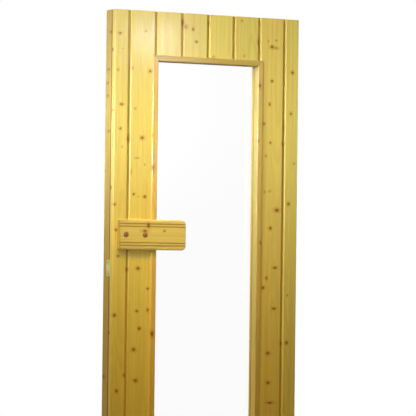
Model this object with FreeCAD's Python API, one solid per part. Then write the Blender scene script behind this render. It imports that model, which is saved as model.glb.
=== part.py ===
import FreeCAD
import Part
import math
import os

# Sauna door leaf: upright pine tongue-and-groove boards on a jointed frame, a tall glazed
# window, a reeded pull board and a roller catch in the closing edge. Millimetres.
# The origin is at the foot of the hinge edge, half way through the leaf's thickness.
# +X runs from the closing edge to the hinge edge, the boarded face looks to -Y, +Z is up.

V = FreeCAD.Vector

# Leaf
leaf_width = 610.0
leaf_height = 1830.0
board_thickness = 19.0
core_thickness = 38.0
front_chamfer = 3.0
edge_notch = 2.0
back_arris = 1.5

# Tongue-and-groove boards with an open V joint, the outer two ripped to half width
edge_board = 48.5
board_count = 8
joint_flat = 6.0
joint_chamfer = 3.5
tongue_depth = 6.5
tongue_thickness = 6.0
tongue_reach = 5.5
tongue_tip = 0.8
groove_play = 0.2
groove_end_play = 0.6
cheek_play = 0.3

# Window: it takes the place of all boards but the outer two on each side
boards_beside_window = 2
window_head = 138.0
window_foot = 138.0

# Mitred beads on the boarded face
bead_leg = 6.0
bead_face = 17.5
bead_proud = 4.5
bead_outer_round = 3.0
bead_inner_round = 3.0

# Glass in its rebate, held from behind by mitred beads with a splayed inner face
glass_lip = 12.0
glass_thickness = 4.0
glass_rebate = 18.0
glass_play = 2.0
back_bead_inset = 2.0
back_bead_nosing = 2.0
back_bead_splay = 11.5

# Stub tenons of the rails
tenon_length = 40.0
tenon_thickness = 12.0
tenon_setback = 13.0
tenon_outer_shoulder = 25.0
tenon_inner_shoulder = 20.0
tenon_play = 0.2
tenon_end_play = 1.0

# Pull board with four reeds and two domed plugs
handle_length = 215.0
handle_height = 87.0
handle_thickness = 16.0
handle_inset = 15.0
handle_centre = 1185.0
handle_corner_round = 13.0
handle_edge_round = 5.0
handle_end_chamfer = 1.5
reed_insets = (12.4, 20.0)
reed_radius = 1.8
reed_sink = 0.3
housing_play = 0.5
plug_insets = (20.0, 81.5)
plug_head = 16.0
plug_rise = 4.5
plug_rim = 0.8
dome_steps = 6
plug_shank = 10.0
plug_length = 9.0
plug_play = 0.1
plug_end_play = 1.0

# Roller catch in the closing edge
catch_height = 1089.0
catch_setback = 27.0
plate_width = 22.0
plate_height = 47.0
plate_thickness = 2.0
plate_corner = 6.0
screw_spacing = 34.2
screw_head = 7.2
screw_shank = 3.5
screw_length = 22.0
screw_play = 0.05
roller_diameter = 12.0
roller_length = 18.6
roller_edge = 0.8
roller_stand = 5.0
catch_stroke = 5.0
pin_diameter = 3.0
pin_play = 0.05
yoke_arm = 2.0
yoke_front = 3.0
yoke_corner = 3.5
yoke_floor = 4.0
yoke_flange = 1.4
roller_play = 0.3
slide_play = 0.4
stop_play = 0.3
spring_room = 9.0
case_wall = 1.5
mortise_play = 0.3

# Places that follow from the sizes
leaf_thickness = board_thickness + core_thickness
face_y = -leaf_thickness / 2
core_y = face_y + board_thickness
back_y = leaf_thickness / 2
closing_x = -leaf_width
hinge_x = 0.0
joint_count = board_count - 1
board_pitch = (leaf_width - 2 * edge_board) / (joint_count - 1)
half_flat = joint_flat / 2
half_gap = half_flat + joint_chamfer


def joint_x(number):
    # Joint 1 is the first from the closing edge
    return closing_x + edge_board + (number - 1) * board_pitch


cut_x = (joint_x(boards_beside_window), joint_x(joint_count + 1 - boards_beside_window))
cut_z = (window_foot, leaf_height - window_head)
sight_x = (cut_x[0] + bead_leg, cut_x[1] - bead_leg)
sight_z = (cut_z[0] + bead_leg, cut_z[1] - bead_leg)
glass_y = core_y + glass_lip
back_bead_y = glass_y + glass_thickness


# Shape helpers
def box(x, y, z):
    return Part.makeBox(x[1] - x[0], y[1] - y[0], z[1] - z[0], V(x[0], y[0], z[0]))


def grown(span, by):
    return (span[0] - by, span[1] + by)


def about(centre, width):
    return (centre - width / 2, centre + width / 2)


def face_of(edges):
    return Part.Face(Part.Wire(edges))


def polygon_face(points):
    return Part.Face(Part.makePolygon(points + points[:1]))


def rounded_face(u, v, radii, place):
    # Rectangle with its own radius at each corner, in the order low-low, high-low, high-high, low-high
    corners = [(u[0], v[0]), (u[1], v[0]), (u[1], v[1]), (u[0], v[1])]
    runs = [(1, 0), (0, 1), (-1, 0), (0, -1)]
    edges = []
    last_end = None
    first_start = None
    for index, (corner, radius) in enumerate(zip(corners, radii)):
        into = runs[index - 1]
        out = runs[index]
        start = (corner[0] - into[0] * radius, corner[1] - into[1] * radius)
        end = (corner[0] + out[0] * radius, corner[1] + out[1] * radius)
        if last_end is None:
            first_start = start
        else:
            edges.append(Part.makeLine(place(*last_end), place(*start)))
        if radius > 0:
            bulge = radius * (1 - math.sqrt(0.5))
            middle = (
                corner[0] + (out[0] - into[0]) * bulge,
                corner[1] + (out[1] - into[1]) * bulge,
            )
            edges.append(Part.Arc(place(*start), place(*middle), place(*end)).toShape())
        last_end = end
    edges.append(Part.makeLine(place(*last_end), place(*first_start)))
    return face_of(edges)


def save(name, shape):
    shape.exportStep("parts/" + name + ".step")


# Frame of stiles and rails
def tenon_span():
    return about(core_y + tenon_setback + tenon_thickness / 2, tenon_thickness)


def make_frame():
    top_z = (sight_z[1], leaf_height)
    foot_z = (0.0, sight_z[0])
    top_tenon = (top_z[0] + tenon_inner_shoulder, top_z[1] - tenon_outer_shoulder)
    foot_tenon = (foot_z[0] + tenon_outer_shoulder, foot_z[1] - tenon_inner_shoulder)
    core = (core_y, back_y)
    rebate = box(
        grown(sight_x, glass_rebate),
        (glass_y, back_y),
        grown(sight_z, glass_rebate),
    )
    frame = {}
    for name, z, tenon in (("top_rail", top_z, top_tenon), ("bottom_rail", foot_z, foot_tenon)):
        rail = box(sight_x, core, z)
        rail = rail.fuse(box(grown(sight_x, tenon_length), tenon_span(), tenon))
        frame[name] = rail.removeSplitter().cut(rebate)
    sides = (
        ("closing_stile", closing_x, sight_x[0], 1),
        ("hinge_stile", hinge_x, sight_x[1], -1),
    )
    for name, outer, inner, inward in sides:
        outline = [
            V(outer + inward * edge_notch, core_y, 0),
            V(inner, core_y, 0),
            V(inner, back_y, 0),
            V(outer + inward * back_arris, back_y, 0),
            V(outer, back_y - back_arris, 0),
            V(outer, core_y + edge_notch, 0),
        ]
        stile = polygon_face(outline).extrude(V(0, 0, leaf_height))
        reach = tenon_length + tenon_end_play
        mortise_x = sorted((inner, inner - inward * reach))
        for tenon in (top_tenon, foot_tenon):
            pocket = box(mortise_x, grown(tenon_span(), tenon_play), grown(tenon, tenon_play))
            stile = stile.cut(pocket)
        frame[name] = stile.cut(rebate)
    return frame


# Boards
def edge_side(x, inward):
    return [
        (x + inward * front_chamfer, 0.0),
        (x, front_chamfer),
        (x, board_thickness - edge_notch),
        (x + inward * edge_notch, board_thickness),
    ]


def groove_side(x):
    upper = tongue_depth - groove_play
    lower = tongue_depth + tongue_thickness + groove_play
    end = x + half_flat + tongue_reach + groove_end_play
    cheek = x - half_flat + cheek_play
    return [
        (x + half_gap, 0.0),
        (x + half_flat, joint_chamfer),
        (x + half_flat, upper),
        (end, upper),
        (end, lower),
        (cheek, lower),
        (cheek, board_thickness),
    ]


def tongue_side(x):
    lower = tongue_depth + tongue_thickness
    end = x + half_flat + tongue_reach
    return [
        (x - half_gap, 0.0),
        (x - half_flat, joint_chamfer),
        (x - half_flat, tongue_depth),
        (end - tongue_tip, tongue_depth),
        (end, tongue_depth + tongue_tip),
        (end, lower - tongue_tip),
        (end - tongue_tip, lower),
        (x - half_flat, lower),
        (x - half_flat, board_thickness),
    ]


def make_boards():
    boards = {}
    for number in range(1, board_count + 1):
        left = edge_side(closing_x, 1) if number == 1 else groove_side(joint_x(number - 1))
        right = edge_side(hinge_x, -1) if number == board_count else tongue_side(joint_x(number))
        outline = [V(x, face_y + depth, 0) for x, depth in left + right[::-1]]
        stopped = boards_beside_window < number <= board_count - boards_beside_window
        gap_x = (closing_x, hinge_x) if stopped else cut_x
        board = polygon_face(outline).extrude(V(0, 0, leaf_height))
        board = board.cut(box(gap_x, (face_y, core_y), cut_z))
        pieces = sorted(board.Solids, key=lambda piece: piece.CenterOfMass.z)
        if len(pieces) == 1:
            boards["board_%d" % number] = pieces[0]
        else:
            boards["board_%d_lower" % number] = pieces[0]
            boards["board_%d_upper" % number] = pieces[-1]
    return boards


# Beads round the window: a profile of (distance out from the sight line, y), where a third
# value is the radius of the quarter round at that corner
def front_bead_profile():
    crown = face_y - bead_proud
    return [
        (0.0, core_y),
        (bead_leg, core_y),
        (bead_leg, face_y),
        (bead_face, face_y),
        (bead_face, crown, bead_outer_round),
        (0.0, crown, bead_inner_round),
    ]


def back_bead_profile():
    nosing_y = back_bead_y + back_bead_nosing
    return [
        (back_bead_inset, back_bead_y),
        (glass_rebate, back_bead_y),
        (glass_rebate, back_y),
        (back_bead_inset + back_bead_splay, back_y),
        (back_bead_inset, nosing_y),
    ]


def profile_edges(profile, place):
    # The rounded corners are the last ones, each between two square sides
    edges = []
    last = V(*profile[-1][:2], 0)
    runs = []
    for index, (u, y, *radius) in enumerate(profile):
        corner = V(u, y, 0)
        following = V(*profile[(index + 1) % len(profile)][:2], 0)
        if radius:
            back = corner + (last - corner).normalize() * radius[0]
            on = corner + (following - corner).normalize() * radius[0]
            middle = back + on - corner + (corner * 2 - back - on) * math.sqrt(0.5)
            runs.append((back, middle, on))
        else:
            runs.append((corner, None, corner))
        last = corner
    for (start, middle, end), (next_start, _, _) in zip(runs, runs[1:] + runs[:1]):
        if middle is not None:
            ends = [place(point.x, point.y) for point in (start, middle, end)]
            edges.append(Part.Arc(*ends).toShape())
        if (next_start - end).Length > 1e-6:
            edges.append(Part.makeLine(place(end.x, end.y), place(next_start.x, next_start.y)))
    return edges


def mitred_beads(profile, width):
    x, z = sight_x, sight_z
    outer_x, outer_z = grown(x, width), grown(z, width)
    depth = (face_y - bead_proud, back_y)
    sides = {
        "left": (lambda u, y: V(x[0] - u, y, outer_z[0]), V(0, 0, outer_z[1] - outer_z[0])),
        "right": (lambda u, y: V(x[1] + u, y, outer_z[0]), V(0, 0, outer_z[1] - outer_z[0])),
        "top": (lambda u, y: V(outer_x[0], y, z[1] + u), V(outer_x[1] - outer_x[0], 0, 0)),
        "bottom": (lambda u, y: V(outer_x[0], y, z[0] - u), V(outer_x[1] - outer_x[0], 0, 0)),
    }
    corner = {
        "left": ((x[0], z[0]), (outer_x[0], outer_z[0]), (outer_x[0], outer_z[1]), (x[0], z[1])),
        "right": ((x[1], z[0]), (outer_x[1], outer_z[0]), (outer_x[1], outer_z[1]), (x[1], z[1])),
        "top": ((x[0], z[1]), (outer_x[0], outer_z[1]), (outer_x[1], outer_z[1]), (x[1], z[1])),
        "bottom": ((x[0], z[0]), (outer_x[0], outer_z[0]), (outer_x[1], outer_z[0]), (x[1], z[0])),
    }
    beads = {}
    for side, (place, run) in sides.items():
        straight = face_of(profile_edges(profile, place)).extrude(run)
        mitre = polygon_face([V(cx, depth[0], cz) for cx, cz in corner[side]])
        beads[side] = straight.common(mitre.extrude(V(0, depth[1] - depth[0], 0)))
    return beads


def make_glass():
    spread = glass_rebate - glass_play
    return box(grown(sight_x, spread), (glass_y, back_bead_y), grown(sight_z, spread))


# Pull board
handle_x = (closing_x + handle_inset, closing_x + handle_inset + handle_length)
handle_z = about(handle_centre, handle_height)
handle_y = (face_y - handle_thickness, face_y)


def front_edges(board):
    # The edges round the pull board's front, first those of its flush left end
    rim = [
        edge for edge in board.Edges
        if all(abs(vertex.Y - handle_y[0]) < 1e-6 for vertex in edge.Vertexes)
    ]
    end = [edge for edge in rim if abs(edge.CenterOfMass.x - handle_x[0]) < 1e-6]
    rest = [edge for edge in rim if abs(edge.CenterOfMass.x - handle_x[0]) > 1e-6]
    return end, rest


def make_handle():
    radii = (0.0, handle_corner_round, handle_corner_round, 0.0)
    outline = rounded_face(handle_x, handle_z, radii, lambda x, z: V(x, handle_y[1], z))
    board = outline.extrude(V(0, -handle_thickness, 0))
    board = board.makeFillet(handle_edge_round, front_edges(board)[1])
    board = board.makeChamfer(handle_end_chamfer, front_edges(board)[0])
    for inset in reed_insets:
        for z in (handle_z[0] + inset, handle_z[1] - inset):
            start = V(handle_x[0], handle_y[0] + reed_sink, z)
            board = board.cut(Part.makeCylinder(reed_radius, handle_length, start, V(1, 0, 0)))
    housing_x = (sight_x[0] - bead_face - housing_play, sight_x[0] + housing_play)
    housing_y = (face_y - bead_proud - housing_play, face_y)
    board = board.cut(box(housing_x, housing_y, handle_z))
    for inset in plug_insets:
        mouth = V(handle_x[0] + inset, handle_y[0], handle_centre)
        depth = plug_length + plug_end_play
        hole = Part.makeCylinder(plug_shank / 2 + plug_play, depth, mouth, V(0, 1, 0))
        board = board.cut(hole)
    return board


def make_plug(inset):
    # Half outline of a plug with a turned dome of narrow cones, revolved about its own axis
    x = handle_x[0] + inset
    crown_y = handle_y[0] - plug_rise
    head = plug_head / 2
    shank = plug_shank / 2
    tail_y = handle_y[0] + plug_length
    dome = plug_rise - plug_rim
    bulge = (head * head + dome * dome) / (2 * dome)
    turn = math.asin(head / bulge) / dome_steps
    points = [(0.0, tail_y), (shank, tail_y), (shank, handle_y[0]), (head, handle_y[0])]
    for step in range(dome_steps, -1, -1):
        radius = bulge * math.sin(turn * step)
        points.append((radius, crown_y + bulge * (1 - math.cos(turn * step))))
    outline = polygon_face([V(x + radius, y, handle_centre) for radius, y in points])
    return outline.revolve(V(x, 0, handle_centre), V(0, 1, 0), 360)


# Roller catch: depths run inward from the closing edge
catch_y = face_y + catch_setback
axle_depth = roller_diameter / 2 - roller_stand
roller_half = roller_length / 2
arm_z = (roller_half + roller_play, roller_half + roller_play + yoke_arm)
yoke_width = roller_diameter
slot_width = yoke_width + 2 * slide_play
slot_height = 2 * (arm_z[1] + slide_play)
flange_depth = plate_thickness + stop_play
floor_depth = axle_depth + roller_diameter / 2 + roller_play
yoke_depth = floor_depth + yoke_floor
cavity_width = slot_width + 2 * yoke_flange
cavity_height = slot_height + 2 * yoke_flange
case_width = cavity_width + 2 * case_wall
case_height = cavity_height + 2 * case_wall
cavity_depth = yoke_depth + catch_stroke + spring_room
case_depth = cavity_depth + case_wall


def in_depth(start, end):
    return (closing_x + start, closing_x + end)


def plate_blank():
    corner = [plate_corner] * 4
    plate_y = about(catch_y, plate_width)
    plate_z = about(catch_height, plate_height)
    outline = rounded_face(plate_y, plate_z, corner, lambda y, z: V(closing_x, y, z))
    return outline.extrude(V(plate_thickness, 0, 0))


def make_catch():
    slot = box(
        in_depth(0, plate_thickness), about(catch_y, slot_width), about(catch_height, slot_height)
    )
    plate = plate_blank().cut(slot)
    screws = {}
    for name, side in (("upper", 1), ("lower", -1)):
        tip = V(closing_x, catch_y, catch_height + side * screw_spacing / 2)
        head_depth = (screw_head - screw_shank) / 2
        head = Part.makeCone(screw_head / 2, screw_shank / 2, head_depth, tip, V(1, 0, 0))
        shank = Part.makeCylinder(screw_shank / 2, screw_length, tip, V(1, 0, 0))
        plate = plate.cut(head).cut(shank)
        screws["catch_screw_" + name] = head.fuse(shank).removeSplitter()
    case = box(
        in_depth(plate_thickness, case_depth),
        about(catch_y, case_width),
        about(catch_height, case_height),
    )
    cavity = box(
        in_depth(plate_thickness, cavity_depth),
        about(catch_y, cavity_width),
        about(catch_height, cavity_height),
    )
    catch = {"catch_plate": plate, "catch_case": case.cut(cavity)}
    catch.update(screws)
    catch["catch_yoke"] = make_yoke()
    axle = V(closing_x + axle_depth, catch_y, catch_height)
    up = V(0, 0, 1)
    pin = Part.makeCylinder(pin_diameter / 2, 2 * arm_z[1], axle - up * arm_z[1], up)
    roller = Part.makeCylinder(roller_diameter / 2, roller_length, axle - up * roller_half, up)
    ends = [edge for edge in roller.Edges if edge.isClosed()]
    roller = roller.makeChamfer(roller_edge, ends)
    bore = Part.makeCylinder(
        pin_diameter / 2 + pin_play, roller_length, axle - up * roller_half, up
    )
    catch["catch_pin"] = pin
    catch["catch_roller"] = roller.cut(bore)
    return catch


def make_yoke():
    # A fork: two arms hold the pin, and a flange inside the case stops against the plate
    nose = axle_depth - yoke_front
    x = in_depth(nose, yoke_depth)
    y = about(catch_y, yoke_width)
    radii = (yoke_corner, 0.0, 0.0, yoke_corner)
    low = catch_height - arm_z[1]
    outline = rounded_face(x, y, radii, lambda px, py: V(px, py, low))
    body = outline.extrude(V(0, 0, 2 * arm_z[1]))
    flange = box(
        in_depth(flange_depth, yoke_depth),
        about(catch_y, cavity_width - 2 * slide_play),
        about(catch_height, cavity_height - 2 * slide_play),
    )
    gap = box(
        in_depth(nose, floor_depth),
        about(catch_y, cavity_width),
        about(catch_height, 2 * arm_z[0]),
    )
    axle = V(closing_x + axle_depth, catch_y, low)
    hole = Part.makeCylinder(pin_diameter / 2, 2 * arm_z[1], axle, V(0, 0, 1))
    return body.fuse(flange).removeSplitter().cut(gap).cut(hole)


def catch_mortise():
    # What is cut from the stile and the edge board to let the catch in
    case = box(
        in_depth(0, case_depth + mortise_play),
        grown(about(catch_y, case_width), mortise_play),
        grown(about(catch_height, case_height), mortise_play),
    )
    cutter = plate_blank().fuse(case)
    for side in (1, -1):
        tip = V(closing_x, catch_y, catch_height + side * screw_spacing / 2)
        radius = screw_shank / 2 + screw_play
        cutter = cutter.fuse(Part.makeCylinder(radius, screw_length, tip, V(1, 0, 0)))
    return cutter


def main():
    os.makedirs("parts", exist_ok=True)
    nodes = make_frame()
    nodes.update(make_boards())
    mortise = catch_mortise()
    for name in ("closing_stile", "board_1"):
        nodes[name] = nodes[name].cut(mortise)
    for side, bead in mitred_beads(front_bead_profile(), bead_face).items():
        nodes["front_bead_" + side] = bead
    for side, bead in mitred_beads(back_bead_profile(), glass_rebate).items():
        nodes["back_bead_" + side] = bead
    nodes["glass_pane"] = make_glass()
    nodes["handle_board"] = make_handle()
    for inset, name in zip(plug_insets, ("handle_plug_left", "handle_plug_right")):
        nodes[name] = make_plug(inset)
    nodes.update(make_catch())
    for name, shape in nodes.items():
        save(name, shape)
        print(name, len(shape.Solids), round(shape.Volume), shape.isValid())


main()
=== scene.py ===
import math
import random

import bpy
from mathutils import Matrix, Vector


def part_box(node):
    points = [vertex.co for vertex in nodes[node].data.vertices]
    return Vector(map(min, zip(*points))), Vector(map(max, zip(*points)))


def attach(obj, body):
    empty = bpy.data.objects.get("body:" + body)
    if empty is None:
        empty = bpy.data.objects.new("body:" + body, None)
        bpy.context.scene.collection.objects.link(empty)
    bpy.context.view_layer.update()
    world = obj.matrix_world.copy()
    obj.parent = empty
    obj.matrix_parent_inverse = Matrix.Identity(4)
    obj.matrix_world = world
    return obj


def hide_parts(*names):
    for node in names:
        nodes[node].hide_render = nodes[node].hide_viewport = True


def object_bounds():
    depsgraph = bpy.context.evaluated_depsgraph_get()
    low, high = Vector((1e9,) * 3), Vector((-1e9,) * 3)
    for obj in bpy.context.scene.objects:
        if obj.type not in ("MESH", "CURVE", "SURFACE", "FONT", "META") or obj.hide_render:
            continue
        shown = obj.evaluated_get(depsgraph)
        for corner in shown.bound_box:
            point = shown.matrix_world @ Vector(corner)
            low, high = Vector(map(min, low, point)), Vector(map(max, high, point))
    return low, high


# A sauna door leaf in varnished pine, seen from the left of its boarded face.
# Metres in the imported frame: the boards look to -Y, the hinge edge is at x = 0.
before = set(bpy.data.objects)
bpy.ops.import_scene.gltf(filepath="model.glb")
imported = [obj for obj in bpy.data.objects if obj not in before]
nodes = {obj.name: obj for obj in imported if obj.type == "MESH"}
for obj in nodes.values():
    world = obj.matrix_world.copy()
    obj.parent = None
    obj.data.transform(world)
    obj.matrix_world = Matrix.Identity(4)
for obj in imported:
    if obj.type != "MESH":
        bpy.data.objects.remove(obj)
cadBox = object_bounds()
scene = bpy.context.scene
print("stage: frame loaded")

millimetre = 0.001
leaf = {
    "closingX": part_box("closing_stile")[0][0],
    "faceY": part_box("board_2")[0][1],
    "jointY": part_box("closing_stile")[0][1],
    "backY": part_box("closing_stile")[1][1],
    "top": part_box("closing_stile")[1][2],
}


def middleOf(name):
    low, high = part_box(name)
    return [(start + end) / 2 for start, end in zip(low, high)]


# Camera: it stands where the photograph's lines of the leaf, window and pull board meet
photoFrame = 416
photoCamera = {
    "place": Vector((-4.201, -7.182, 1.0845)),
    "turn": math.radians(28.6),
    "rise": math.radians(1.28),
    "roll": math.radians(0.68),
    "lens": 242.5,
    "sensor": 36.0,
    "reach": 60.0,
}


def cameraAxes():
    turn, rise, roll = photoCamera["turn"], photoCamera["rise"], photoCamera["roll"]
    ahead = Vector((
        math.sin(turn) * math.cos(rise), math.cos(turn) * math.cos(rise), math.sin(rise)
    ))
    level = Vector((math.cos(turn), -math.sin(turn), 0.0))
    plumb = level.cross(ahead)
    right = level * math.cos(roll) + plumb * math.sin(roll)
    up = plumb * math.cos(roll) - level * math.sin(roll)
    return right, up, ahead


def addCamera():
    right, up, ahead = cameraAxes()
    camera = bpy.data.objects.new("camera", bpy.data.cameras.new("camera"))
    camera.data.lens = photoCamera["lens"]
    camera.data.sensor_width = photoCamera["sensor"]
    camera.data.clip_end = photoCamera["reach"]
    turned = Matrix((right, up, -ahead)).transposed().to_4x4()
    camera.matrix_world = Matrix.Translation(photoCamera["place"]) @ turned
    scene.collection.objects.link(camera)
    scene.camera = camera


def spotOn(axis, level, across, down):
    # The point of the plane axis = level that the photograph shows at this pixel
    right, up, ahead = cameraAxes()
    focal = photoCamera["lens"] / photoCamera["sensor"] * photoFrame
    half = photoFrame / 2
    ray = ahead + right * ((across - half) / focal) + up * ((half - down) / focal)
    start = photoCamera["place"]
    return start + ray * ((level - start[axis]) / ray[axis])


addCamera()
print("stage: camera")


# Node helpers
def linear(code):
    parts = [int(code[place:place + 2], 16) / 255 for place in (1, 3, 5)]
    return tuple(
        part / 12.92 if part <= 0.04045 else ((part + 0.055) / 1.055) ** 2.4 for part in parts
    ) + (1.0,)


def feed(tree, node, inputs):
    # A socket is linked, any other value is set on the input itself
    for name, value in inputs.items():
        if isinstance(value, bpy.types.NodeSocket):
            tree.links.new(value, node.inputs[name])
        else:
            node.inputs[name].default_value = value


def addNode(tree, kind, inputs=None, **settings):
    node = tree.nodes.new(kind)
    for name, value in settings.items():
        setattr(node, name, value)
    feed(tree, node, inputs or {})
    return node


def maths(tree, operation, first, second=0.0, third=0.0, clamp=False):
    inputs = {0: first, 1: second, 2: third}
    node = addNode(tree, "ShaderNodeMath", inputs, operation=operation, use_clamp=clamp)
    return node.outputs[0]


def vectors(tree, operation, first, second=(0.0, 0.0, 0.0)):
    node = addNode(tree, "ShaderNodeVectorMath", {0: first, 1: second}, operation=operation)
    return node.outputs["Value" if operation == "LENGTH" else "Vector"]


def parted(tree, vector):
    return addNode(tree, "ShaderNodeSeparateXYZ", {"Vector": vector}).outputs


def combined(tree, **parts):
    return addNode(tree, "ShaderNodeCombineXYZ", parts).outputs["Vector"]


def ramped(tree, value, low, high, start=0.0, end=1.0):
    inputs = {"Value": value, "From Min": low, "From Max": high, "To Min": start, "To Max": end}
    node = addNode(tree, "ShaderNodeMapRange", inputs, interpolation_type="SMOOTHSTEP")
    return node.outputs["Result"]


def tinted(tree, amount, under, over, blend="MIX"):
    inputs = {0: amount, 6: under, 7: over}
    node = addNode(tree, "ShaderNodeMix", inputs, data_type="RGBA", blend_type=blend)
    return node.outputs[2]


def noise(tree, vector, stretch, detail, roughness=0.5):
    # The stretch is the pattern's scale along each axis, per metre
    inputs = {"Vector": vectors(tree, "MULTIPLY", vector, stretch), "Scale": 1.0,
              "Detail": detail, "Roughness": roughness}
    return addNode(tree, "ShaderNodeTexNoise", inputs).outputs["Fac"]


def newMaterial(name):
    material = bpy.data.materials.new(name)
    material.use_nodes = True
    return material, material.node_tree, material.node_tree.nodes["Principled BSDF"]


def objectPlace(tree):
    return addNode(tree, "ShaderNodeTexCoord").outputs["Object"]


def dress(material, *names):
    for name in names:
        for slot in nodes[name].material_slots:
            slot.material = material


# Varnished pine: growth rings round a pith behind the piece, so the sides show streaks and
# arches and the ends show arcs, with knots, amber streaks and a satin coat of varnish.
# Each tone is early wood, late wood and amber heartwood.
pineColours = {
    "boards": ("#E7D053", "#D2AE42", "#DEB644"),
    "ripe": ("#E9CC50", "#D5AA3D", "#E0B23F"),
    "frame": ("#E3C038", "#CB9B2A", "#D7A62E"),
    "beads": ("#DEBA4C", "#C8983A", "#D2A040"),
    "pull": ("#E2CC5A", "#CCA845", "#D6AF4B"),
}
# Varnish pooled in the joints and reeds, darkened further as painted shade in these recesses
varnishAndShadeInRecesses = "#AC8C3C"
rings = {
    "width": 0.0031, "reach": 0.075, "sway": 0.03, "bend": 0.05, "shift": 9,
    "rise": (0.25, 0.85), "fall": (1.0, 0.93), "contrast": 0.34,
}

# Patterns of the wood: scale along each axis, detail and roughness of the noise
grain = {
    "wave": ((4.0, 4.0, 0.9), 3.0, 0.5),
    "streak": ((26.0, 26.0, 0.8), 4.0, 0.55),
    "thin": ((120.0, 120.0, 1.6), 3.0, 0.55),
    "fibre": ((420.0, 420.0, 9.0), 3.0, 0.6),
    "film": ((260.0, 260.0, 11.0), 2.0, 0.5),
    "brush": ((900.0, 900.0, 5.0), 2.0, 0.5),
}
# What a pattern does: from and to on the pattern, then from and to on what it drives
reaction = {
    "fibreInRing": (0.25, 0.75, 0.35, 1.0),
    "amber": (0.48, 0.76, 0.0, 0.6),
    "coat": (0.36, 0.64, 0.4, 1.0),
    "gloss": (0.0, 1.0, 0.5, 0.4),
}
lightness = {"thin": (0.3, 0.7), "range": (0.94, 1.04)}
relief = {
    "wood": {"Strength": 0.35, "Distance": 0.00012},
    "brush": {"Strength": 0.25, "Distance": 0.00006},
}
varnish = {
    "IOR": 1.4,
    "Specular IOR Level": 0.35,
    "Coat Roughness": 0.12,
    "Coat IOR": 1.5,
}

# Knots: ragged ovals that push the rings aside. Reaches are in knot radii, a faint knot has
# half the strength, and each ring of colour gives way with a power of the strength.
knots = {
    "raggedScale": 190.0, "ragged": 0.004, "blend": 0.15, "faint": 0.5,
    "push": 0.005, "pushReach": (0.6, 3.4),
}
knotRings = {
    "amberHalo": ("#CC8E1E", (0.9, 3.0), 0.55, 1),
    "brownHeart": ("#A06C0A", (0.55, 1.4), 0.9, 1),
    "darkBark": ("#664200", (0.3, 0.95), 0.65, 2),
}


def nearestKnot(tree, place, group):
    # Distance to the nearest knot, in knot radii
    nearest = None
    for centre, radii in group:
        offset = vectors(tree, "SUBTRACT", place, centre)
        scaled = vectors(tree, "MULTIPLY", offset, [1 / radius for radius in radii])
        distance = vectors(tree, "LENGTH", scaled)
        if nearest is None:
            nearest = distance
        else:
            nearest = maths(tree, "SMOOTH_MIN", nearest, distance, knots["blend"])
    return nearest


def knotted(tree, colour, near, strength):
    for code, reach, amount, power in knotRings.values():
        shown = ramped(tree, near, *reach, amount * strength ** power, 0.0)
        colour = tinted(tree, shown, colour, linear(code))
    return colour


# Varnish lies thick and dark in the boards' joints and in the notch along the core, and this
# darkening is also painted shade in these recesses
joints = {
    "first": 0.0485, "pitch": 0.0855, "halfWidth": (0.0042, 0.0032), "depth": (0.003, 0.004),
    "fade": 0.001, "amount": 0.6, "notch": (0.0036, 0.0022),
}


def jointVarnishAndShade(tree, place):
    apart = parted(tree, place)
    across = maths(tree, "SUBTRACT", apart["X"], leaf["closingX"] + joints["first"])
    across = maths(tree, "PINGPONG", across, joints["pitch"] / 2)
    inner = maths(tree, "SUBTRACT", apart["Y"], leaf["faceY"])
    groove = maths(tree, "MULTIPLY", ramped(tree, across, *joints["halfWidth"]),
                   ramped(tree, inner, *joints["depth"]))
    seam = maths(tree, "ABSOLUTE", maths(tree, "SUBTRACT", apart["Y"], leaf["jointY"]))
    onBoards = ramped(tree, apart["Y"], leaf["jointY"] - joints["fade"], leaf["jointY"],
                      joints["amount"], 0.0)
    groove = maths(tree, "MULTIPLY", groove, onBoards)
    return maths(tree, "MAXIMUM", groove, ramped(tree, seam, *joints["notch"]))


# It pools in the pull board's reeds too, a pair above and a pair below the board's middle, again
# with painted shade in the reeds
reeds = {
    "middle": 1.185, "pair": 0.0273, "halfGap": 0.0038, "halfWidth": (0.0024, 0.0012),
    "depth": (0.004, 0.005), "amount": 0.62,
}


def reedVarnishAndShade(tree, place):
    apart = parted(tree, place)
    aside = apart["Z"]
    for part in ("middle", "pair", "halfGap"):
        aside = maths(tree, "ABSOLUTE", maths(tree, "SUBTRACT", aside, reeds[part]))
    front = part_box("handle_board")[0][1]
    nearSide, farSide = (front + depth for depth in reeds["depth"])
    onFace = ramped(tree, apart["Y"], nearSide, farSide, reeds["amount"], 0.0)
    return maths(tree, "MULTIPLY", ramped(tree, aside, *reeds["halfWidth"]), onFace)


# Painted highlight: the leg that the right bead shows inside the window, which faces the light
# from the left, is painted paler than its face
beadLegHighlight = {"colour": "#EFE068", "fade": (0.0005, 0.0015), "amount": 0.6}
# Bare end grain at the fixed end of the pull board, painted darker for its own tone and also as
# painted shade on the end that faces the lamps on the left
pullEndGrainAndShade = {"colour": "#D6C6B4", "fade": (0.001, 0.003), "amount": 1.0}


def atLowEnd(tree, place, name, end):
    # The side of a piece that lies towards the closing edge
    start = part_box(name)[0][0]
    inner, outer = (start + step for step in end["fade"])
    return ramped(tree, parted(tree, place)["X"], inner, outer, end["amount"], 0.0)


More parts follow.
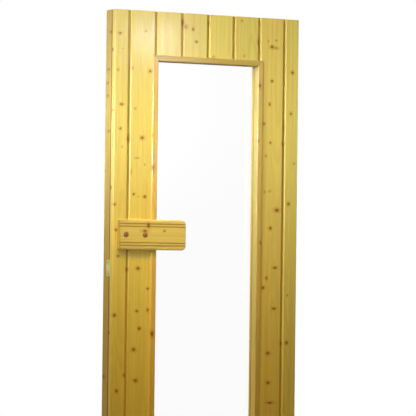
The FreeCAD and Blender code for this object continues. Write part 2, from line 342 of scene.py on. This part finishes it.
def details(tree, name, tone, place, colour):
    # What one kind of piece has over its plain wood: pooled varnish with painted shade in the
    # joints and reeds, a painted highlight on the right bead's leg, and end grain painted darker,
    # partly as painted shade, at the pull board's end
    pooledAndShaded = linear(varnishAndShadeInRecesses)
    if tone in ("boards", "ripe", "frame"):
        colour = tinted(tree, jointVarnishAndShade(tree, place), colour, pooledAndShaded, "MULTIPLY")
    if name == "front_bead_right":
        pale = atLowEnd(tree, place, name, beadLegHighlight)
        colour = tinted(tree, pale, colour, linear(beadLegHighlight["colour"]))
    if tone == "pull":
        colour = tinted(tree, reedVarnishAndShade(tree, place), colour, pooledAndShaded, "MULTIPLY")
        endGrainAndShade = atLowEnd(tree, place, name, pullEndGrainAndShade)
        colour = tinted(tree, endGrainAndShade, colour, linear(pullEndGrainAndShade["colour"]), "MULTIPLY")
    return colour


def dressInPine(name, tone, seed, centre, along="Z", dark=(), faint=(), shade=1.0):
    material, tree, shader = newMaterial("varnishedPine_" + name)
    chance = random.Random(seed)
    early, late, amber = (linear(code) for code in pineColours[tone])
    place = objectPlace(tree)
    wood = vectors(tree, "SUBTRACT", place, centre)
    if along == "X":
        apart = parted(tree, wood)
        wood = combined(tree, X=apart["Z"], Y=apart["Y"], Z=apart["X"])
    shift = chance.uniform(-rings["shift"], rings["shift"])
    wood = vectors(tree, "ADD", wood, (0.0, 0.0, shift))
    pattern = {part: noise(tree, wood, *values) for part, values in grain.items()}

    # Slow waves bend the rings, so flat-sawn arches come and go along the piece
    wave = maths(tree, "SUBTRACT", pattern["wave"], 0.5)
    wave = maths(tree, "MULTIPLY", wave, rings["bend"])
    sway = chance.uniform(-rings["sway"], rings["sway"])
    pith = (sway, rings["reach"] * chance.choice((-1, 1)), 0.0)
    flat = vectors(tree, "MULTIPLY", vectors(tree, "SUBTRACT", wood, pith), (1.0, 1.0, 0.0))
    radius = maths(tree, "ADD", vectors(tree, "LENGTH", flat), wave)
    ragged = addNode(tree, "ShaderNodeTexNoise", {"Vector": place, "Scale": knots["raggedScale"]})
    ragged = vectors(tree, "SUBTRACT", ragged.outputs["Color"], [0.5] * 3)
    ragged = vectors(tree, "MULTIPLY", ragged, [knots["ragged"]] * 3)
    ragged = vectors(tree, "ADD", place, ragged)
    near = [(nearestKnot(tree, ragged, group), strength)
            for group, strength in ((faint, knots["faint"]), (dark, 1.0)) if group]
    for distance, strength in near:
        push = ramped(tree, distance, *knots["pushReach"], knots["push"] * strength, 0.0)
        radius = maths(tree, "ADD", radius, push)
    ring = maths(tree, "FRACT", maths(tree, "DIVIDE", radius, rings["width"]))
    rise, fall = ramped(tree, ring, *rings["rise"]), ramped(tree, ring, *rings["fall"])
    lateWood = maths(tree, "MULTIPLY", rise, fall)
    broken = ramped(tree, pattern["fibre"], *reaction["fibreInRing"])
    lateWood = maths(tree, "MULTIPLY", lateWood, broken)

    # Broad streaks of amber heartwood, and thin ones that are a little lighter or darker
    colour = tinted(tree, maths(tree, "MULTIPLY", lateWood, rings["contrast"]), early, late)
    colour = tinted(tree, ramped(tree, pattern["streak"], *reaction["amber"]), colour, amber)
    for distance, strength in near:
        colour = knotted(tree, colour, distance, strength)
    colour = details(tree, name, tone, place, colour)
    darkest, lightest = (level * shade for level in lightness["range"])
    light = ramped(tree, pattern["thin"], *lightness["thin"], darkest, lightest)
    grey = addNode(tree, "ShaderNodeCombineColor", {"Red": light, "Green": light, "Blue": light})
    colour = tinted(tree, 1.0, colour, grey.outputs["Color"], "MULTIPLY")

    # Raised latewood under the varnish, and a film with faint brush marks along the grain,
    # thick here and thin there, so that a window's gleam breaks into streaks
    height = maths(tree, "ADD", lateWood, pattern["fibre"])
    raised = addNode(tree, "ShaderNodeBump", {"Height": height, **relief["wood"]})
    brushed = addNode(tree, "ShaderNodeBump", {"Height": pattern["brush"], **relief["brush"]})
    feed(tree, shader, {
        "Base Color": colour,
        "Normal": raised.outputs["Normal"],
        "Coat Normal": brushed.outputs["Normal"],
        "Coat Weight": ramped(tree, pattern["film"], *reaction["coat"]),
        "Roughness": ramped(tree, lateWood, *reaction["gloss"]),
        **varnish,
    })
    dress(material, name)


# Knots measured in the photograph: across and down in its pixels, then half width and half
# height in millimetres. Dark and faint ones of the boards' face come first, then those of the
# closing edge, of the front beads and of the pull board.
faceKnots = (
    (120.2, 33, 4, 3), (121.6, 104.1, 5, 3), (120.4, 128.4, 3, 3), (114.7, 204.1, 3, 3),
    (116, 229.8, 3, 3), (118, 256.1, 3, 3), (114.3, 315.3, 4, 4), (116.5, 391, 4, 4),
    (128.8, 138.7, 3, 8), (150.3, 71.1, 4, 4), (142.1, 137.9, 5, 4), (133.7, 194.2, 3, 3),
    (144.8, 196.7, 4, 4), (138, 268.3, 5, 4), (127.2, 269.4, 3, 4), (147.7, 288.7, 3, 3),
    (136.8, 311, 4, 3), (147.7, 310, 3, 4), (139.3, 328.6, 4, 4), (133.6, 349.6, 5, 4),
    (135.4, 380.6, 5, 4), (124.3, 375.2, 3, 5), (183.3, 22.4, 3, 9), (193.1, 29.2, 3, 4),
    (196.6, 41.7, 4, 3), (258.8, 42.1, 3, 8), (272.1, 47, 5, 4), (272.1, 81.1, 4, 3),
    (269.6, 104.3, 3, 4), (264, 123.9, 3, 3), (270.3, 142.8, 3, 3), (266, 156, 2, 3),
    (276.7, 210.3, 7, 5), (270.3, 228.3, 4, 4), (274.9, 267.8, 6, 3), (266.5, 278.3, 3, 4),
    (263, 287.8, 4, 4), (273.8, 308.6, 6, 3), (267.7, 353.3, 5, 4), (267.9, 382.8, 5, 4),
    (269.5, 402.7, 9, 3), (283.1, 144.3, 3, 5), (281.2, 343.6, 3, 5), (292.5, 72.7, 4, 4),
    (290.9, 113.7, 3, 4), (288.4, 204, 4, 4), (286.4, 342.9, 4, 4),
)
faintKnots = (
    (123, 48.4, 2, 2), (118, 69.5, 3, 3), (122.2, 146.8, 2, 2), (132.4, 68, 3, 4),
    (146.1, 31.1, 4, 3), (135.3, 108.7, 3, 3), (131, 171.8, 2, 7), (144.8, 164.7, 2, 2),
    (138.3, 196.7, 2, 2), (186, 26.7, 5, 6), (209, 23.2, 3, 7), (213.5, 57.2, 4, 3),
    (242, 21, 3, 3), (244.3, 56, 3, 3), (268.2, 41.4, 2, 4), (276.3, 40.7, 3, 3),
    (276, 48, 6, 3), (264.7, 192, 3, 3), (269.8, 191.2, 3, 3), (293.8, 163.7, 3, 3),
    (287.2, 295.4, 3, 3), (114.5, 110, 2, 2), (137, 158, 6, 2), (256.5, 130, 5, 3),
)
closingKnots = (
    (110.8, 32, 4, 3), (112.9, 49.4, 3, 4), (108.7, 69.5, 5, 3), (108, 83, 4, 3),
    (107.8, 95.8, 4, 3), (108.9, 131.2, 5, 3), (104.6, 170.3, 4, 4), (110.9, 187.5, 3, 5),
    (108.9, 332.5, 4, 3), (111.2, 362.8, 3, 4), (103.9, 376.5, 4, 4),
)
beadKnots = (
    (152, 135.3, 3, 5), (152.4, 167.4, 5, 8), (152, 333.8, 5, 7), (259.8, 85.6, 4, 5),
    (258.4, 140.7, 2, 3), (260.9, 242.8, 3, 4), (261.7, 349.4, 3, 5),
)
pullKnots = ((145, 231, 7, 3), (148.5, 225.4, 4, 6), (164.5, 231, 3, 2))

# How far a knot runs through a piece and in from the closing edge, how high the photograph's
# foot lies on the leaf, and how knots follow each other where it shows none
throughWood = 0.2
edgeDepth = 0.03
photoFoot = 0.63
unseenRun = {
    "first": (0.03, 0.12), "next": (0.07, 0.17), "size": (0.0028, 0.0048),
    "length": (0.8, 1.2), "margins": (0.012, 0.016),
}


def seenKnots(name, group, level):
    # The ones of this list that lie on the piece, running through its thickness
    low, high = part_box(name)
    found = []
    for across, down, wide, tall in group:
        spot = spotOn(1, level, across, down)
        reach = wide * millimetre
        beside = low[0] - reach < spot.x < high[0] + reach
        if beside and low[2] - reach < spot.z < high[2] + reach:
            found.append(((spot.x, level, spot.z), (reach, throughWood, tall * millimetre)))
    return found


def edgeKnots(name):
    # Knots that come out at the closing edge
    low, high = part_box(name)
    found = []
    if low[0] != leaf["closingX"]:
        return found
    for across, down, wide, tall in closingKnots:
        spot = spotOn(0, leaf["closingX"], across, down)
        if low[1] < spot.y < high[1]:
            radii = (edgeDepth, wide * millimetre, tall * millimetre)
            found.append(((leaf["closingX"], spot.y, spot.z), radii))
    return found


def unseenKnots(name, seed, ceiling, turned=False):
    # Where the photograph doesn't reach, knots go on at about the same spacing
    chance = random.Random(seed)
    low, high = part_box(name)
    run, side = (0, 2) if turned else (2, 0)
    start, end = unseenRun["margins"]
    found = []
    along = low[run] + chance.uniform(*unseenRun["first"])
    while along < min(ceiling, high[run]):
        size = chance.uniform(*unseenRun["size"])
        centre, radii = [0.0, leaf["faceY"], 0.0], [size, throughWood, size]
        centre[run] = along
        centre[side] = chance.uniform(low[side] + start, high[side] - end)
        radii[run] *= chance.uniform(*unseenRun["length"])
        found.append((centre, radii))
        along += chance.uniform(*unseenRun["next"])
    return found


# How light a piece is beside the lightest board, and where the photograph shows a riper one
shades = {
    "board_6_upper": 0.93, "board_7": 0.97, "board_8": 0.96, "closing_stile": 0.75,
    "front_bead_left": 1.0, "front_bead_top": 0.74,
}
beadShade = 0.88
ripeBoard = "board_7"
seeds = {
    "boards": 11, "stiles": 31, "rails": 35, "beads": 51, "pull": 71,
    "boardKnots": 40, "stileKnots": 60, "railKnots": 64,
}

for index, name in enumerate(sorted(name for name in nodes if name.startswith("board_"))):
    centre = (middleOf(name)[0], leaf["faceY"], 0.0)
    dark = seenKnots(name, faceKnots, leaf["faceY"])
    dark += unseenKnots(name, seeds["boardKnots"] + index, photoFoot) + edgeKnots(name)
    faint = seenKnots(name, faintKnots, leaf["faceY"])
    tone = "ripe" if name == ripeBoard else "boards"
    shade = shades.get(name, 1.0)
    dressInPine(name, tone, seeds["boards"] + index, centre, "Z", dark, faint, shade)
print("stage: boards")

for index, name in enumerate(("closing_stile", "hinge_stile")):
    centre = (middleOf(name)[0], leaf["backY"], 0.0)
    dark = unseenKnots(name, seeds["stileKnots"] + index, leaf["top"]) + edgeKnots(name)
    shade = shades.get(name, 1.0)
    dressInPine(name, "frame", seeds["stiles"] + index, centre, "Z", dark, (), shade)
for index, name in enumerate(("top_rail", "bottom_rail")):
    centre = (0.0, leaf["backY"], middleOf(name)[2])
    dark = unseenKnots(name, seeds["railKnots"] + index, leaf["top"], True)
    dressInPine(name, "frame", seeds["rails"] + index, centre, "X", dark)
for index, name in enumerate(sorted(name for name in nodes if "_bead_" in name)):
    along = "Z" if name.endswith(("left", "right")) else "X"
    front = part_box(name)[0][1]
    dark = seenKnots(name, beadKnots, front) if name.startswith("front") else ()
    shade = shades.get(name, beadShade)
    dressInPine(name, "beads", seeds["beads"] + index, middleOf(name), along, dark, (), shade)
dark = seenKnots("handle_board", pullKnots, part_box("handle_board")[0][1])
dressInPine("handle_board", "pull", seeds["pull"], middleOf("handle_board"), "X", dark)
print("stage: frame, beads and pull board")


# Dark turned plugs: close-grained brown hardwood, glossy at the crown
def plugWood():
    material, tree, shader = newMaterial("brownHardwood")
    pores = noise(tree, objectPlace(tree), (500.0, 500.0, 90.0), 3.0)
    shown = ramped(tree, pores, 0.3, 0.7)
    feed(tree, shader, {
        "Base Color": tinted(tree, shown, linear("#A8783A"), linear("#6E4810")),
        "Roughness": 0.5,
        "Specular IOR Level": 0.3,
        "Coat Weight": 0.3,
        "Coat Roughness": 0.15,
    })
    return material


# Clear float glass, which the white ground shows through
def clearGlass():
    material, tree, shader = newMaterial("clearFloatGlass")
    feed(tree, shader, {
        "Base Color": (1.0, 1.0, 1.0, 1.0),
        "Roughness": 0.0,
        "IOR": 1.5,
        "Transmission Weight": 1.0,
    })
    return material


# Plated or bright metal: a soft sheen with fine lengthwise scratches
def metal(name, colour, roughness):
    material, tree, shader = newMaterial(name)
    scratches = noise(tree, objectPlace(tree), (3000.0, 3000.0, 60.0), 3.0)
    shown = ramped(tree, scratches, 0.35, 0.7, 0.0, 0.3)
    feed(tree, shader, {
        "Base Color": tinted(tree, shown, linear(colour), linear("#6E6C58")),
        "Roughness": ramped(tree, scratches, 0.3, 0.7, roughness, roughness + 0.12),
        "Metallic": 1.0,
    })
    return material


# Ivory nylon of the roller, dulled where it runs against the strike
def nylon():
    material, tree, shader = newMaterial("ivoryNylon")
    wear = noise(tree, objectPlace(tree), (400.0, 400.0, 1200.0), 3.0)
    shown = ramped(tree, wear, 0.4, 0.8)
    feed(tree, shader, {
        "Base Color": tinted(tree, shown, linear("#DADCA6"), linear("#B2B47C")),
        "Roughness": 0.45,
        "Subsurface Weight": 0.1,
        "Subsurface Radius": (0.002, 0.002, 0.0015),
    })
    return material


dress(plugWood(), "handle_plug_left", "handle_plug_right")
dress(clearGlass(), "glass_pane")
dress(metal("satinNickel", "#D2DC90", 0.36), "catch_plate", "catch_case", "catch_yoke")
brightSteel = metal("brightSteel", "#6C6A4C", 0.26)
dress(brightSteel, "catch_pin")
dress(nylon(), "catch_roller")


# Two countersunk cross-recess screws let into the catch plate, one tree for both
catchScrews = {
    "headDiameter": 0.0072,
    "shankDiameter": 0.0035,
    "shankLength": 0.022,
    "recessWidth": 0.0011,
    "recessLength": 0.0044,
    "recessDepth": 0.0012,
    "turn": math.radians(28),
    "turnStep": 0.6,
}
screwSides = {"head": 24, "shank": 16}


def catchScrewTree():
    tree = bpy.data.node_groups.new("catchScrews", "GeometryNodeTree")
    tree.is_modifier = True
    tree.interface.new_socket("Geometry", in_out="INPUT", socket_type="NodeSocketGeometry")
    for name in (*catchScrews, "spacing"):
        tree.interface.new_socket(name, in_out="INPUT", socket_type="NodeSocketFloat")
    tree.interface.new_socket("Middle", in_out="INPUT", socket_type="NodeSocketVector")
    tree.interface.new_socket("Geometry", in_out="OUTPUT", socket_type="NodeSocketGeometry")
    given = addNode(tree, "NodeGroupInput").outputs

    def half(name):
        return maths(tree, "MULTIPLY", given[name], 0.5)

    # Head and shank stand on +Z with the head's face at z = 0, the recess is cut from that face
    taper = maths(tree, "SUBTRACT", half("headDiameter"), half("shankDiameter"))
    head = addNode(tree, "GeometryNodeMeshCone", {
        "Vertices": screwSides["head"], "Radius Top": half("shankDiameter"),
        "Radius Bottom": half("headDiameter"), "Depth": taper,
    }).outputs["Mesh"]
    shank = addNode(tree, "GeometryNodeMeshCylinder", {
        "Vertices": screwSides["shank"], "Radius": half("shankDiameter"),
        "Depth": given["shankLength"],
    }).outputs["Mesh"]
    shank = addNode(tree, "GeometryNodeTransform", {
        "Geometry": shank, "Translation": combined(tree, Z=half("shankLength")),
    }).outputs[0]
    depth = maths(tree, "MULTIPLY", given["recessDepth"], 2.0)
    slots = []
    for wide, narrow in (("X", "Y"), ("Y", "X")):
        sides = {wide: given["recessLength"], narrow: given["recessWidth"], "Z": depth}
        size = combined(tree, **sides)
        slots.append(addNode(tree, "GeometryNodeMeshCube", {"Size": size}).outputs["Mesh"])
    recess = addNode(tree, "GeometryNodeMeshBoolean", {"Mesh 2": slots[0]}, operation="UNION")
    feed(tree, recess, {"Mesh 2": slots[1]})
    screw = addNode(tree, "GeometryNodeMeshBoolean", {"Mesh 2": head}, operation="UNION")
    feed(tree, screw, {"Mesh 2": shank})
    screw = addNode(tree, "GeometryNodeMeshBoolean", {
        "Mesh 1": screw.outputs["Mesh"], "Mesh 2": recess.outputs["Mesh"],
    }, operation="DIFFERENCE")

    # One screw above and one below the middle of the plate, driven in along +X
    lowest = vectors(tree, "SUBTRACT", given["Middle"], combined(tree, Z=half("spacing")))
    line = addNode(tree, "GeometryNodeMeshLine", {
        "Count": 2, "Start Location": lowest, "Offset": combined(tree, Z=given["spacing"]),
    }, mode="OFFSET").outputs["Mesh"]
    number = addNode(tree, "GeometryNodeInputIndex").outputs[0]
    placed = addNode(tree, "GeometryNodeInstanceOnPoints", {
        "Points": line, "Instance": screw.outputs["Mesh"], "Rotation": (0.0, math.pi / 2, 0.0),
    })
    spin = maths(tree, "MULTIPLY_ADD", number, given["turnStep"], given["turn"])
    turned = addNode(tree, "GeometryNodeRotateInstances", {
        "Instances": placed.outputs[0], "Rotation": combined(tree, Z=spin),
    })
    solid = addNode(tree, "GeometryNodeRealizeInstances", {"Geometry": turned.outputs[0]})
    dressed = addNode(tree, "GeometryNodeSetMaterial", {
        "Geometry": solid.outputs[0], "Material": brightSteel,
    })
    addNode(tree, "NodeGroupOutput", {"Geometry": dressed.outputs[0]})
    return tree


def addCatchScrews():
    upper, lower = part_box("catch_screw_upper"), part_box("catch_screw_lower")
    values = dict(catchScrews)
    values["spacing"] = (upper[0][2] + upper[1][2] - lower[0][2] - lower[1][2]) / 2
    values["Middle"] = [
        leaf["closingX"], (upper[0][1] + upper[1][1]) / 2, (upper[1][2] + lower[0][2]) / 2
    ]
    mesh = bpy.data.meshes.new("catchScrewSeed")
    seed = bpy.data.objects.new("catchScrewSeed", mesh)
    scene.collection.objects.link(seed)
    modifier = seed.modifiers.new("screws", "NODES")
    modifier.node_group = catchScrewTree()
    for item in modifier.node_group.interface.items_tree:
        if item.name in values:
            modifier[item.identifier] = values[item.name]
    bpy.context.view_layer.update()
    shaped = seed.evaluated_get(bpy.context.evaluated_depsgraph_get())
    solid = bpy.data.meshes.new_from_object(shaped)
    solid.name = "catchScrews"
    bpy.data.objects.remove(seed)
    screws = bpy.data.objects.new("catchScrews", solid)
    scene.collection.objects.link(screws)
    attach(screws, "leaf")
    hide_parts("catch_screw_upper", "catch_screw_lower")


addCatchScrews()
print("stage: plugs, glass and catch")


# Studio: a pale round floor, cool light from the upper left and from the front, warm light
# from above and from low down, and a window's gleam on the left boards
studioFloor = {"radius": 2.4, "sides": 96, "colour": "#F0EFEC", "roughness": 0.8}


def addFloor():
    step = math.tau / studioFloor["sides"]
    rim = [
        (math.cos(number * step) * studioFloor["radius"] + leaf["closingX"] / 2,
         math.sin(number * step) * studioFloor["radius"], 0.0)
        for number in range(studioFloor["sides"])
    ]
    mesh = bpy.data.meshes.new("floor")
    mesh.from_pydata(rim, [], [list(range(len(rim)))])
    floor = bpy.data.objects.new("floor", mesh)
    floor.location.z = cadBox[0][2]
    scene.collection.objects.link(floor)
    material, tree, shader = newMaterial("paleFloor")
    feed(tree, shader, {
        "Base Color": linear(studioFloor["colour"]), "Roughness": studioFloor["roughness"],
    })
    mesh.materials.append(material)


# Lamps: where each stands and looks, its sides, its watts, its colour, how many degrees its
# light spreads and whether the varnish mirrors it
coolLight, warmLight, skyLight = "#DCDCFF", "#FFD77E", "#B4C3FF"
lamps = {
    "keySoftbox": (
        (-1.6, -1.1, 2.4), (-0.12, 0.0, 1.55), (0.45, 0.45), 4.2, coolLight, 56, False),
    "overhead": (
        (-0.8, -0.9, 2.7), (-0.42, 0.0, 0.85), (0.35, 0.3), 0.78, warmLight, 30, True),
    "frontSoftbox": (
        (0.85, -3.2, 1.85), (-0.08, 0.0, 1.7), (0.7, 0.6), 1.85, coolLight, 32, False),
    "leftDaylight": (
        (-3.4, -0.9, 1.7), (-0.4, 0.0, 1.42), (0.5, 0.5), 0.88, skyLight, 16, True),
    "leftBeam": (
        (-3.4, -0.9, 1.6), (-0.4, 0.0, 1.5), (0.3, 0.3), 0.3, skyLight, 8, True),
    "lowBounce": (
        (-1.1, -1.4, 0.95), (-0.55, 0.0, 0.8), (0.6, 0.6), 0.8, warmLight, 100, False),
    "backBounce": (
        (-2.6, 0.9, 1.5), (-0.6, 0.0, 1.2), (1.2, 1.6), 6.5, "#FFDB89", 180, True),
    "floorLight": (
        (-0.3, 2.3, 3.6), (-0.3, 2.3, 0.0), (2.4, 1.6), 14.0, "#FFFFFF", 60, False),
    "windowGleam": (
        (1.18, -3.2, 2.04), (-0.45, 0.0, 1.6), (0.21, 0.13), 0.18, "#F0F0FF", 60, True),
}


def addLamp(name, place, target, size, power, colour, spread, mirrored):
    lamp = bpy.data.lights.new(name, "AREA")
    lamp.shape = "RECTANGLE"
    lamp.size, lamp.size_y = size
    lamp.energy = power
    lamp.color = linear(colour)[:3]
    lamp.spread = math.radians(spread)
    holder = bpy.data.objects.new(name, lamp)
    aim = Vector(target) - Vector(place)
    holder.location = place
    holder.rotation_euler = aim.to_track_quat("-Z", "Y").to_euler()
    holder.visible_camera = False
    holder.visible_glossy = mirrored
    holder.visible_transmission = mirrored
    scene.collection.objects.link(holder)


# The room: light that the lamps leave to it, and what the varnish mirrors of it. Each row is
# from and to on one axis of the direction, then the strength from and to.
room = {
    "fill": "#FFF6E8",
    "behind": (0.05, 0.8, 0.01, 0.9),
    "above": (0.0, 0.06, 0.02, 1.0),
    "towardsRight": (0.45, 0.49, 1.9, 0.45),
    "inFront": (-0.3, 0.3),
}


def addWorld():
    world = bpy.data.worlds.new("studio")
    scene.world = world
    world.use_nodes = True
    tree = world.node_tree
    tree.nodes.clear()
    path = addNode(tree, "ShaderNodeLightPath").outputs
    apart = parted(tree, addNode(tree, "ShaderNodeTexCoord").outputs["Generated"])

    def ground(colour, strength):
        inputs = {"Color": colour, "Strength": strength}
        return addNode(tree, "ShaderNodeBackground", inputs).outputs[0]

    def mixed(amount, under, over):
        inputs = {0: amount, 1: under, 2: over}
        return addNode(tree, "ShaderNodeMixShader", inputs).outputs[0]

    # The varnish mirrors a bright room in front, dimmer to its right and dark below
    front = ramped(tree, apart["X"], *room["towardsRight"])
    mirrored = maths(tree, "MULTIPLY", ramped(tree, apart["Z"], *room["above"]),
                     ramped(tree, apart["Y"], *room["inFront"], front, 1.0))
    # Diffuse light of the room comes from behind the leaf, where no lamp stands
    behind = ramped(tree, apart["Y"], *room["behind"])

    # White stands straight behind the object and its glass, not in what the varnish mirrors
    white = (1.0, 1.0, 1.0, 1.0)
    glossed = maths(tree, "GREATER_THAN", path["Glossy Depth"], 0.5)
    clear = maths(tree, "SUBTRACT", 1.0, glossed)
    through = maths(tree, "MULTIPLY", path["Is Transmission Ray"], clear)
    sharp = maths(tree, "SUBTRACT", path["Is Singular Ray"], path["Is Transmission Ray"],
                  clamp=True)
    seen = maths(tree, "MAXIMUM", path["Is Camera Ray"], through)
    seen = maths(tree, "MAXIMUM", seen, sharp)
    direct = maths(tree, "LESS_THAN", path["Diffuse Depth"], 0.5)
    seen = maths(tree, "MULTIPLY", seen, direct)
    lit = mixed(glossed, ground(linear(room["fill"]), behind), ground(white, mirrored))
    addNode(tree, "ShaderNodeOutputWorld", {"Surface": mixed(seen, lit, ground(white, 1.0))})


addFloor()
for name, values in lamps.items():
    addLamp(name, *values)
addWorld()
scene.view_settings.view_transform = "Standard"
print("stage: studio")
